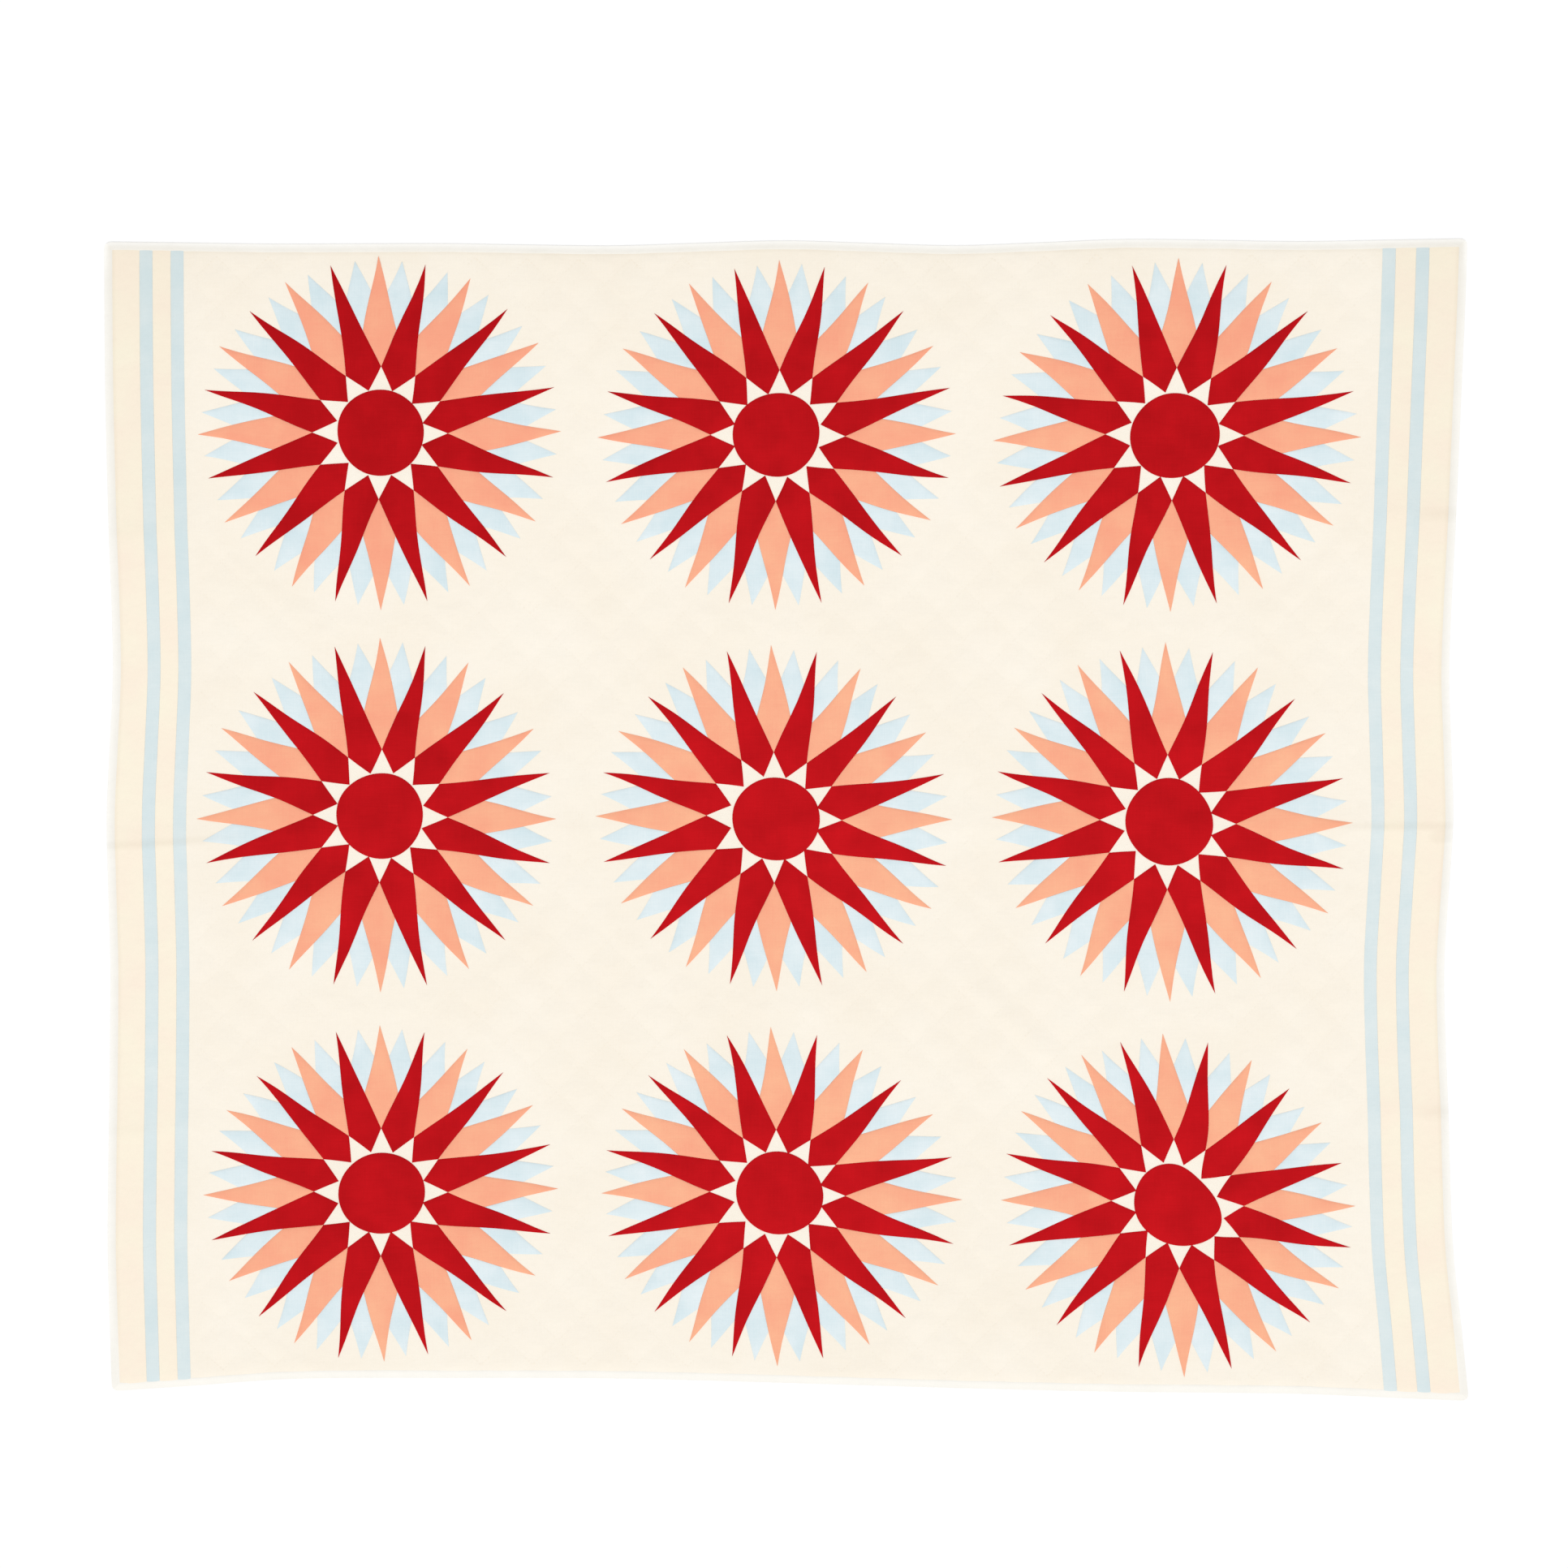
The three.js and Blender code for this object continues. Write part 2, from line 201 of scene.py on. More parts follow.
def laid(u, v):
    """Where points of the flat cloth lie, as rows of X and Y."""
    u, v = round_corners(np.asarray(u, float), np.asarray(v, float))
    s, t = u / FLAT_WIDTH, v / FLAT_LENGTH
    bottom, top = wave_of("bottom", s), wave_of("top", s)
    left, right = wave_of("left", t), wave_of("right", t)
    s, t = s[:, None], t[:, None]
    low = (1 - s) * rims["bottom"][0] + s * rims["bottom"][-1]
    high = (1 - s) * rims["top"][0] + s * rims["top"][-1]
    level_waves = (1 - t) ** WAVE_FADES * bottom + t**WAVE_FADES * top
    upright_waves = (1 - s) ** WAVE_FADES * left + s**WAVE_FADES * right
    return (1 - t) * low + t * high + level_waves + upright_waves


corner_u, corner_v = np.array([0, FLAT_WIDTH]), np.array([0, FLAT_LENGTH])
print("bottom left and top right corners:", laid(corner_u, corner_v).round(4).tolist())

# %% [markdown]
# A quilt is kept folded, and the folds stay in it. One crease crosses the middle from side to side, and
# short ones show on the two borders, bent down a little on the left. Each is a low soft ridge. All pieces
# use the same heights, so that patches, borders and binding ride over a crease with the ground.

# %% Creases from side to side
CREASE_HALF, CREASE_CREST = 0.045, 2.4  # half width, and a power: higher is a narrower crest
CREST_ROUND = 0.006  # the cloth cannot bend more sharply than this
MIDDLE_CREASE = {"y": -0.010, "rise": 0.0024}
MIDDLE_SHARE = 0.6  # the quilting holds the crease down between the borders
SIDE_CREASES = ({"y": 0.470, "rise": 0.0016}, {"y": -0.450, "rise": 0.0016})
SIDE_CREASE_FROM, SIDE_CREASE_FULL = 0.885, 0.920
BEND_FROM, BEND_TO, BEND_DROP = 0.560, 1.120, 0.032  # metres left of the middle, and the drop by then


def ramp(value, start, end):
    """0 up to start, 1 from end on, and a smooth rise between them."""
    part = np.clip((value - start) / (end - start), 0, 1)
    return part * part * (3 - 2 * part)


def ridge(distance, half):
    """1 on the crest of a crease, falling to 0 at half its width."""
    rounded = np.hypot(distance, CREST_ROUND) - CREST_ROUND
    return np.clip(1 - rounded / half, 0, 1) ** CREASE_CREST


def level_creases(x, y):
    """Rise of the creases that run from side to side."""
    bend = BEND_DROP * ramp(-x, BEND_FROM, BEND_TO)
    side = ramp(np.abs(x), SIDE_CREASE_FROM, SIDE_CREASE_FULL)
    middle = MIDDLE_CREASE["rise"] * ridge(y - MIDDLE_CREASE["y"] + bend, CREASE_HALF)
    lift = middle * (MIDDLE_SHARE + (1 - MIDDLE_SHARE) * side)
    for crease in SIDE_CREASES:
        lift = lift + crease["rise"] * side * ridge(y - crease["y"] + bend, CREASE_HALF)
    return lift


print("rise of the middle crease, at the middle:", level_creases(0.0, MIDDLE_CREASE["y"]))

# %% [markdown]
# A slack crease runs out of the last medallion at a slant, so the place along it and the distance across
# it are worked out first. Low waves and fine crinkles come on top of all, because washed cotton never
# lies quite flat.

# %% The lie of the cloth
SLACK_CREASE = {"start": (0.23, -0.21), "end": (0.46, -0.41), "rise": 0.0022, "half": 0.030, "fade": 0.3}
WAVES = ((7.1, 3.3, 0.0), (-5.2, 12.7, 1.3), (19.0, 15.0, 0.4))  # radians a metre along X and Y, and a start
CRINKLES = ((131, 47, 2), (-62, 151, -3))  # the same along X and Y, and how far the waves shift them
UNEVEN, CRINKLE = 0.00035, 0.00022


def slack_crease(x, y):
    """Rise of the slanting crease, which fades at both its ends."""
    start, end = np.array(SLACK_CREASE["start"]), np.array(SLACK_CREASE["end"])
    length = np.linalg.norm(end - start)
    way = (end - start) / length
    along = ((x - start[0]) * way[0] + (y - start[1]) * way[1]) / length
    across = (x - start[0]) * way[1] - (y - start[1]) * way[0]
    fade = SLACK_CREASE["fade"]
    shown = ramp(along, 0, fade) * ramp(-along, -1, fade - 1)
    return SLACK_CREASE["rise"] * shown * ridge(across, SLACK_CREASE["half"])


def lie(x, y):
    """How far the laid cloth is lifted off its flat lie at X and Y."""
    waves = sum(np.sin(by_x * x + by_y * y + start) for by_x, by_y, start in WAVES)
    crinkles = sum(np.sin(by_x * x + by_y * y + shift * waves) for by_x, by_y, shift in CRINKLES)
    uneven = UNEVEN * (waves + len(WAVES)) / len(WAVES)
    crinkled = CRINKLE * (crinkles + len(CRINKLES)) / (2 * len(CRINKLES))
    return level_creases(x, y) + slack_crease(x, y) + uneven + crinkled


print("lift on the middle crease:", round(float(lie(0.0, MIDDLE_CREASE["y"])), 5))

# %% [markdown]
# Each medallion was sewn on by hand, so no two are the same size or sit quite square. Places and sizes
# come from the boxes of the peach solids, whose tips point straight up, down, left and right. The turn
# and the lean of each are a short table, in degrees.

# %% Where the medallions lie
TURN_AND_LEAN = {
    "r1c1": (-0.1, 0.1), "r1c2": (0.2, -1.2), "r1c3": (0.2, -2.0),
    "r2c1": (-0.5, -0.4), "r2c2": (-0.7, 0.1), "r2c3": (-1.5, 0.1),
    "r3c1": (0.7, 0.0), "r3c2": (-1.6, 0.8), "r3c3": (-1.4, 3.2),
}

medallions = {}
for place, (turn, lean) in TURN_AND_LEAN.items():
    low, high = (np.array(corner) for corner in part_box(f"peach_points_{place}"))
    medallions[place] = {
        "middle": (low + high)[:2] / 2,
        "half": (high - low)[:2] / 2,
        "turn": math.tan(math.radians(turn)),
        "lean": math.tan(math.radians(lean)),
    }
print("half sizes:", {place: row["half"].round(3).tolist() for place, row in medallions.items()})

# %% [markdown]
# ## The quilted ground
# The ground is the cream face cloth, the batting and the backing, quilted together by rows of small
# stitches that cross in diamonds. A grid is the natural start for a sheet: its vertices are moved to the
# laid outline, and lifted between the rows, where the batting puffs the cloth up. The grid and the
# quilting share their spacing, so that every row of stitches falls on vertices and stays crisp.

# %% Heights of the ground
GROUND = 0.0036  # top of the ground along a row of stitches
GROUND_EDGE = 0.006  # the ground's raw edge ends this far inside the binding
CELLS_ACROSS, CELLS_UP = 262, 224
DIAMOND_CELLS = 5  # half a diamond, in cells of the grid
RIM_DEPTHS = (0.004, 0.014, 0.040)
RIM_SHARES = (0.30, 0.72, 1.0)  # the quilt thins towards its edge
BOTTOM_SHARES = (0.30, 0.90, 1.0)  # but less at the bottom, whose binding was sewn on more loosely
cell = (FLAT_WIDTH - 2 * GROUND_EDGE) / CELLS_ACROSS


def ground_flat(across, up):
    """The place on the flat cloth of a point of the ground, counted in cells from its middle."""
    u = GROUND_EDGE + (FLAT_WIDTH - 2 * GROUND_EDGE) * (across / CELLS_ACROSS + 0.5)
    v = GROUND_EDGE + (FLAT_LENGTH - 2 * GROUND_EDGE) * (up / CELLS_UP + 0.5)
    return u, v


def pressed(u, v):
    """The share of its thickness that the quilt keeps: all in the open, less where the binding grips it."""
    off_others = np.minimum(off_edges(u, v)[0], FLAT_LENGTH - v)
    others = np.interp(off_others, RIM_DEPTHS, RIM_SHARES)
    bottom = np.interp(v, RIM_DEPTHS, BOTTOM_SHARES)
    return np.minimum(others, bottom)


print("cell of the ground's grid:", round(cell, 5))

# %% [markdown]
# The batting lifts the cloth only where nothing is sewn over it. Under a medallion, a side strip or the
# binding the ground stays flat, so that the patches lie on an even bed.

# %% Puffs of the bare ground
PUFF = 0.0018
BARE_FROM = {  # where bare ground starts and where it is full
    "sides": (0.131, 0.143),  # metres off the left and right edges
    "ends": (0.010, 0.024),  # metres off the top and bottom edges
    "medallion": (1.03, 1.08),  # parts of a medallion's size
}


def bare(x, y, u, v):
    """1 on the bare quilted ground, and 0 under a medallion, a side strip or the binding."""
    off_side, off_end = off_edges(u, v)
    open_ground = ramp(off_side, *BARE_FROM["sides"]) * ramp(off_end, *BARE_FROM["ends"])
    for row in medallions.values():
        reach = np.hypot((x - row["middle"][0]) / row["half"][0], (y - row["middle"][1]) / row["half"][1])
        open_ground = open_ground * ramp(reach, *BARE_FROM["medallion"])
    return open_ground


def puff(across, up):
    """How far the batting lifts the cloth, from 0 on a row of stitches to 1 in the middle of a diamond."""
    full = 1.0
    for lines in (across + up, across - up):
        off = np.abs((lines + DIAMOND_CELLS) % (2 * DIAMOND_CELLS) - DIAMOND_CELLS) / DIAMOND_CELLS
        full = full * (1 - (1 - off) ** 2)
    return full


print("puff in the middle of a diamond:", PUFF * puff(DIAMOND_CELLS, 0))

# %% [markdown]
# A few helpers do what a hand does all the time in Blender: select one object alone, add a grid, put its
# vertices somewhere, go into edit mode and out again, turn the faces of a closed shape outwards, and
# shade it smooth up to a sharp angle.

# %% Helpers for sheets
SHARP_FROM = 50  # degrees


def only(piece):
    """Select one object alone and make it active."""
    bpy.ops.object.select_all(action="DESELECT")
    piece.select_set(True)
    bpy.context.view_layer.objects.active = piece


def new_grid(name, across, up):
    """A flat grid, to be shaped into a cloth, and where its vertices are across and up it, from 0 to 1."""
    piece = added(name, bpy.ops.mesh.primitive_grid_add, x_subdivisions=across, y_subdivisions=up, size=1)
    return piece, places_of(piece.data)[:, :2] + 0.5


def move_to(piece, places):
    """Put the piece's vertices at the given rows of X, Y and Z."""
    piece.data.vertices.foreach_set("co", np.ascontiguousarray(places, float).ravel())
    piece.data.update()


@contextmanager
def editing(piece):
    """Open one piece alone in edit mode, and go back to object mode afterwards."""
    only(piece)
    bpy.ops.object.mode_set(mode="EDIT")
    yield
    bpy.ops.object.mode_set(mode="OBJECT")


def face_outwards(piece):
    """Turn all the faces of a closed piece outwards."""
    with editing(piece):
        bpy.ops.mesh.select_all(action="SELECT")
        bpy.ops.mesh.normals_make_consistent(inside=False)


def smooth(piece):
    """Shade the piece smooth, but for its sharp edges."""
    only(piece)
    bpy.ops.object.shade_smooth_by_angle(angle=math.radians(SHARP_FROM))


print("edges stay sharp from", SHARP_FROM, "degrees")

# %% [markdown]
# The ground's grid is moved to the laid outline and lifted into puffs. Each vertex also keeps how far in
# from the quilt's edge it lies, as an attribute of its own, because the painted shade beside the seam and
# the painted highlight on the binding's fold need that distance later.

# %% Shape the ground
def keep_depth(piece, depth):
    """Store on each vertex how far in from the quilt's edge it lies, for the painted seam shade and fold
    highlight.
    """
    kept = piece.data.attributes.new("edge_depth", "FLOAT", "POINT")
    kept.data.foreach_set("value", np.ascontiguousarray(depth, np.float32))


ground, part = new_grid("quilted_ground", CELLS_ACROSS, CELLS_UP)
across, up = np.round((part - 0.5) * (CELLS_ACROSS, CELLS_UP)).T
u, v = ground_flat(across, up)
xy = laid(u, v)
height = pressed(u, v) * (GROUND + lie(*xy.T)) + PUFF * puff(across, up) * bare(*xy.T, u, v)
move_to(ground, np.column_stack([xy, height]))
keep_depth(ground, np.minimum(*off_edges(u, v)))
print("top of the ground:", round(float(height.max()), 4))

# %% [markdown]
# Blender draws a quad as two triangles that meet on its rising diagonal. The quads under a falling row of
# stitches are split the other way, or the cloth would bulge over those stitches. Then the sheet is closed
# below, because a quilt is a thick thing with a back: its open edge is selected, extruded down and
# filled, and the new points go to the floor.

# %% Close the ground
def split_quads(piece, chosen):
    """Split the chosen quads of a grid along their falling diagonal."""
    with editing(piece):
        bpy.ops.mesh.select_mode(type="FACE")
        bpy.ops.mesh.select_all(action="DESELECT")
    piece.data.polygons.foreach_set("select", chosen)
    with editing(piece):
        bpy.ops.mesh.quads_convert_to_tris(quad_method="FIXED_ALTERNATE")


def close_flat(piece, drop):
    """Give an open sheet a wall down from its edge and an underside; returns which vertices are new."""
    count = len(piece.data.vertices)
    with editing(piece):
        bpy.ops.mesh.select_mode(type="EDGE")
        bpy.ops.mesh.select_all(action="DESELECT")
        bpy.ops.mesh.select_non_manifold(extend=False)
        bpy.ops.mesh.extrude_edges_move(TRANSFORM_OT_translate={"value": (0, 0, -drop)})
        bpy.ops.mesh.edge_face_add()
    face_outwards(piece)
    return np.arange(len(piece.data.vertices)) >= count


quads = np.array([face.vertices for face in ground.data.polygons])
quad_across, quad_up = across[quads].mean(axis=1), up[quads].mean(axis=1)
on_falling_row = (quad_across + quad_up) % (2 * DIAMOND_CELLS) == 0
split_quads(ground, on_falling_row)
below = close_flat(ground, GROUND)
closed = places_of(ground.data)
closed[below, 2] = 0
move_to(ground, closed)
smooth(ground)
print("ground:", len(ground.data.vertices), "points,", int(on_falling_row.sum()), "quads split")

# %% [markdown]
# ## The sunburst patches
# One medallion is a disc, a ring of twelve red kites, twelve peach kites between them, and a pair of pale
# blue kites beside each peach one. A kite is drawn by its four corners, in parts of the medallion's
# radius. Where two cloths meet, the corner is the crossing of their two edges, so it is worked out and
# not guessed.

# %% Corners of the kites
RADIUS = 0.277  # the medallion that the patches are cut for
POINTS = 12
RED_TIP, RED_SHOULDER, RED_INNER = 0.99, 0.3745, 0.2425
PEACH_TIP, PEACH_VALLEY = 1.0, 0.47
BLUE_TIP, BLUE_VALLEY = 0.98, 0.722
DISC = 0.2405
STEP = 360 / POINTS


def polar(reach, degrees):
    """A point at a part of the medallion's radius and an angle."""
    angle = math.radians(degrees)
    return np.array([RADIUS * reach * math.cos(angle), RADIUS * reach * math.sin(angle)])


def crossing(start, end, other_start, other_end):
    """Where the line from start to end meets the line from other_start to other_end."""
    way, other_way = end - start, other_end - other_start
    part = np.linalg.solve(np.column_stack([way, -other_way]), other_start - start)[0]
    return start + part * way


red_tip, red_shoulder = polar(RED_TIP, STEP / 2), polar(RED_SHOULDER, 0)
peach_tip, peach_valley = polar(PEACH_TIP, 0), polar(PEACH_VALLEY, STEP / 2)
blue_tip = polar(BLUE_TIP, STEP / 4)
meet = crossing(red_shoulder, red_tip, peach_valley, peach_tip)
red_side = crossing(red_shoulder, red_tip, polar(BLUE_VALLEY, STEP / 2), blue_tip)
peach_side = crossing(peach_valley, peach_tip, polar(BLUE_VALLEY, 0), blue_tip)
mirrored = np.array([1, -1])

red_kite = [polar(RED_INNER, STEP / 2), red_shoulder, red_tip, polar(RED_SHOULDER, STEP)]
peach_kite = [red_shoulder, meet * mirrored, peach_tip, meet]
blue_kite = [meet, peach_side, blue_tip, red_side]
print("red kite:", np.round(red_kite, 4).tolist())

# %% [markdown]
# A patch's edge is turned under before it is sewn down, so it is round and stands a little over the
# ground, and the cloth swells slightly inside it. These helpers draw in a kite's sides by half a seam,
# measure how far a place is from the nearest side, say how high the cloth stands there, and close a patch
# below.

# %% A turned-under edge
SEAM = 0.00008  # half the gap between neighbouring patches
FOLD = 0.0022  # width of the rounded fold along an edge
CROWN_REACH = 0.010
PATCH_LIFT = 0.0004  # a patch's edge over the ground
PATCH_BACK = 0.9 * PATCH_LIFT  # the underside lies this far below the top


def sides_of(corners):
    """Start, end and direction of each side of a kite."""
    for start, end in zip(corners, corners[1:] + corners[:1]):
        yield start, end, (end - start) / np.linalg.norm(end - start)


def drawn_in(corners, gap):
    """The corners of the same kite with every side moved inwards by the gap."""
    sides = []
    for start, end, way in sides_of(corners):
        inward = gap * np.array([-way[1], way[0]])
        sides.append((start + inward, end + inward))
    return [crossing(*before, *after) for before, after in zip(sides[-1:] + sides[:-1], sides)]


def edge_distance(places, corners):
    """Distance of each place from the nearest of the kite's sides."""
    nearest = np.full(len(places), np.inf)
    for start, _, way in sides_of(corners):
        off = places - start
        nearest = np.minimum(nearest, np.abs(way[0] * off[:, 1] - way[1] * off[:, 0]))
    return nearest


def swell(distance, fold_height, crown):
    """Height of a turned-under patch at a distance from its edge."""
    fold = np.sqrt(1 - (1 - np.clip(distance / FOLD, 0, 1)) ** 2)
    return fold_height * fold + crown * (1 - np.exp(-distance / CROWN_REACH))


def back_with_cloth(piece):
    """Close an open patch with an underside that follows its top."""
    with editing(piece):
        bpy.ops.mesh.select_all(action="SELECT")
        bpy.ops.mesh.extrude_region_move(TRANSFORM_OT_translate={"value": (0, 0, -PATCH_BACK)})
    face_outwards(piece)


print("a fold is", FOLD, "m wide, and a seam", 2 * SEAM, "m")

# %% [markdown]
# For each kind of kite a grid is bent to the four corners, with its lines crowded to the edges, lifted by
# its distance from the nearest edge, and closed below by extruding the whole patch downwards.

# %% Cut the kites
def cut_kite(name, corners, cells, fold_height, crown):
    """A closed, softly crowned patch with four corners, given anticlockwise."""
    corners = drawn_in(corners, SEAM)
    piece, part = new_grid(name, *cells)
    a, b = (ramp(side, 0, 1)[:, None] for side in part.T)
    inner, right, tip, left = corners
    xy = (1 - a) * (1 - b) * inner + a * (1 - b) * right + a * b * tip + (1 - a) * b * left
    height = PATCH_LIFT + swell(edge_distance(xy, corners), fold_height, crown)
    move_to(piece, np.column_stack([xy, height]))
    back_with_cloth(piece)
    return piece


KITES = {  # corners, cells across and up, height of the fold, and height of the crown
    "blue_points": (blue_kite, (6, 8), 0.0006, 0.0005),
    "peach_points": (peach_kite, (8, 10), 0.0007, 0.0007),
    "red_points": (red_kite, (8, 16), 0.0008, 0.0009),
}
patterns = {kind: cut_kite(kind, *cut) for kind, cut in KITES.items()}
print("faces of one kite:", {kind: len(kite.data.polygons) for kind, kite in patterns.items()})

# %% [markdown]
# The blue kite has a twin on the other side of its peach point, which the Mirror modifier makes. An Array
# modifier whose steps follow a turned Empty then repeats each kite round the disc. The modifiers are
# applied, because the finished ring is bent to each medallion's own shape.

# %% Repeat the kites round the ring
def add_mirror_image(piece, axes, merge):
    """Add the piece's mirror image across the planes of the chosen axes, X, Y and Z."""
    only(piece)
    twin = piece.modifiers.new("twin", "MIRROR")
    twin.use_axis = axes
    twin.use_mirror_merge = merge
    bpy.ops.object.modifier_apply(modifier=twin.name)


def ring_of(piece, count):
    """Repeat the piece all the way round the origin."""
    turned = added("turned", bpy.ops.object.empty_add, rotation=(0, 0, 2 * math.pi / count))
    only(piece)
    ring = piece.modifiers.new("ring", "ARRAY")
    ring.count = count
    ring.use_relative_offset = False
    ring.use_object_offset = True
    ring.offset_object = turned
    bpy.ops.object.modifier_apply(modifier=ring.name)
    bpy.data.objects.remove(turned)


add_mirror_image(patterns["blue_points"], (False, True, False), merge=False)
for kite in patterns.values():
    ring_of(kite, POINTS)
    smooth(kite)
print("faces of one ring:", {kind: len(ring.data.polygons) for kind, ring in patterns.items()})

# %% [markdown]
# The points on this quilt do not aim quite outwards: all the tips sit a little further round than the
# inner ends, as if the template had not been true. A twist gives every ring that lean. Each vertex is
# turned about the middle, forwards beyond a still radius and backwards within it.

# %% Twist the rings
TWIST = math.radians(1.8)  # over one radius
STILL_REACH = 0.74  # the part of the radius that stays where it is


def twisted(places):
    """The vertices of a ring, turned by more the further they are from the still radius."""
    x, y = places[:, 0], places[:, 1]
    angle = TWIST * (np.hypot(x, y) / RADIUS - STILL_REACH)
    turned_x = x * np.cos(angle) - y * np.sin(angle)
    turned_y = x * np.sin(angle) + y * np.cos(angle)
    return np.column_stack([turned_x, turned_y, places[:, 2]])


for ring in patterns.values():
    move_to(ring, twisted(places_of(ring.data)))
print("tips turned by", round(math.degrees(TWIST * (1 - STILL_REACH)), 2), "degrees")

# %% [markdown]
# The disc is one round patch. A filled circle is inset again and again, so that rings of vertices lie
# close to its edge, and the middle is poked into a fan. Then it gets the same turned-under edge as the
# kites.

# %% The disc
DISC_SIDES = 72
DISC_INSETS = (0.0007, 0.0009, 0.0014, 0.003, 0.006, 0.012, 0.016)
DISC_FOLD, DISC_CROWN = 0.0009, 0.0010

disc_size = {"vertices": DISC_SIDES, "radius": RADIUS * DISC, "fill_type": "NGON"}
sun_disc = added("sun_disc", bpy.ops.mesh.primitive_circle_add, **disc_size)
with editing(sun_disc):
    bpy.ops.mesh.select_mode(type="FACE")
    bpy.ops.mesh.select_all(action="SELECT")
    for inset in DISC_INSETS:
        bpy.ops.mesh.inset(thickness=inset, depth=0)
    bpy.ops.mesh.poke()

flat_disc = places_of(sun_disc.data)
from_edge = RADIUS * DISC - np.hypot(flat_disc[:, 0], flat_disc[:, 1])
flat_disc[:, 2] = PATCH_LIFT + swell(np.maximum(from_edge, 0), DISC_FOLD, DISC_CROWN)
move_to(sun_disc, flat_disc)
back_with_cloth(sun_disc)
smooth(sun_disc)
patterns["sun_disc"] = sun_disc
print("disc:", len(sun_disc.data.polygons), "faces")

# %% [markdown]
# Cloth gives while it is sewn. On some medallions the points were drawn to one side, and some discs were
# set off the middle. Soft tugs, each full at one place and fading round it, make some points longer or
# shorter, and two of them pull the disc at the bottom right askew. All are short lists of lengths in
# metres, to the right and up.

# %% How the medallions were pulled
PULLS = {  # how far the points at a medallion's sides, ends and corners were drawn
    "r1c1": {"corners": (0.007, 0.002)},
    "r1c3": {"sides": (0.004, -0.007)},
    "r2c1": {"sides": (-0.005, -0.005)},
    "r2c3": {"sides": (0.006, 0.003)},
    "r3c1": {"ends": (0.002, -0.005)},
    "r3c2": {"sides": (0.006, -0.005), "ends": (-0.006, -0.003)},
    "r3c3": {"ends": (-0.006, -0.004), "corners": (-0.010, -0.010)},
}
PULL_REST = 0.2  # the points' inner ends give a little the other way
DISC_SHIFTS = {
    "r1c1": (0.0015, 0.0005), "r1c2": (-0.0020, 0.0005), "r2c2": (0.0035, -0.0015), "r2c3": (0.0010, 0.0),
    "r3c1": (0.0010, -0.0010), "r3c2": (0.0035, 0.0025), "r3c3": (-0.0010, -0.0010),
}
TUGS = (  # medallion, where the cloth was tugged, by how much, and how far it reaches
    ("r2c2", (0.190, -0.170), (0.006, -0.006), 0.16),
    ("r3c1", (0.120, 0.230), (-0.002, -0.006), 0.09),
    ("r3c1", (0.020, -0.260), (0.000, 0.007), 0.11),
    ("r3c2", (-0.070, 0.250), (0.004, -0.005), 0.10),
    ("r3c3", (0.046, 0.046), (-0.0075, -0.0075), 0.045),
    ("r3c3", (0.056, -0.034), (0.0075, -0.004), 0.040),
    ("r3c3", (-0.125, 0.240), (0.002, -0.008), 0.06),
    ("r3c3", (-0.090, -0.250), (0.002, 0.006), 0.06),
)


def pulled(x, y, kind, place):
    """How far a patch's points were drawn aside; X and Y run from -1 to 1 over the medallion."""
    if kind == "sun_disc":
        return np.array(DISC_SHIFTS.get(place, (0, 0)))
    strength = {"sides": x * x - PULL_REST, "ends": y * y - PULL_REST, "corners": x * y}
    drawn = np.zeros((len(x), 2))
    for where, by in PULLS.get(place, {}).items():
        drawn = drawn + strength[where][:, None] * np.array(by)
    return drawn


print("medallions drawn to one side:", list(PULLS))

# %% [markdown]
# Each medallion gets copies of the four patches, with their own meshes, stretched, turned and pulled to
# its place. A slow drift on top keeps the edges from being ruler-straight, as no hand-cut patch is.

# %% Sew on the medallions
HAND_DRIFT = 0.0011
DRIFT_WAVES = ((23, 41), (37, -29))  # of the drift in X and of that in Y: radians a metre along X and Y
PATCH_COTTONS = {
    "blue_points": "blue_cotton",
    "peach_points": "peach_cotton",
    "red_points": "red_cotton",
    "sun_disc": "red_cotton",
}


def sewn_on(places, kind, place):
    """Bend a patch's vertices from the pattern to one medallion's place on the laid cloth."""
    medallion = medallions[place]
    x, y = places[:, 0] / RADIUS, places[:, 1] / RADIUS
    wide, tall = medallion["half"]
    side = x * wide - y * tall * medallion["lean"]
    rise = y * tall + x * wide * medallion["turn"]
    moved = np.column_stack([side, rise]) + medallion["middle"] + pulled(x, y, kind, place)
    for _, at, by, reach in (tug for tug in TUGS if tug[0] == place):
        near = np.exp(-((side - at[0]) ** 2 + (rise - at[1]) ** 2) / reach**2)
        moved = moved + near[:, None] * np.array(by)
    drift = [np.sin(moved @ wave) for wave in DRIFT_WAVES]
    moved = moved + HAND_DRIFT * np.column_stack(drift)
    return np.column_stack([moved, places[:, 2] + GROUND + lie(*moved.T)])


pieces = {}
for kind, cotton_name in PATCH_COTTONS.items():
    for place in medallions:
        only(patterns[kind])
        bpy.ops.object.duplicate(linked=False)
        patch = bpy.context.object
        patch.name = f"{kind}_cloth_{place}"
        move_to(patch, sewn_on(places_of(patch.data), kind, place))
        pieces[f"{kind}_{place}"] = (patch, cotton_name)
    bpy.data.objects.remove(patterns[kind])
print("patches sewn on:", len(pieces))

# %% [markdown]
# ## The side strips
# Four strips run down each side: a cream border, a pale blue stripe, a cream band and a second blue
# stripe. They are long grids on the flat cloth, so they wave with the edge once they are laid. Their ends
# go under the binding.

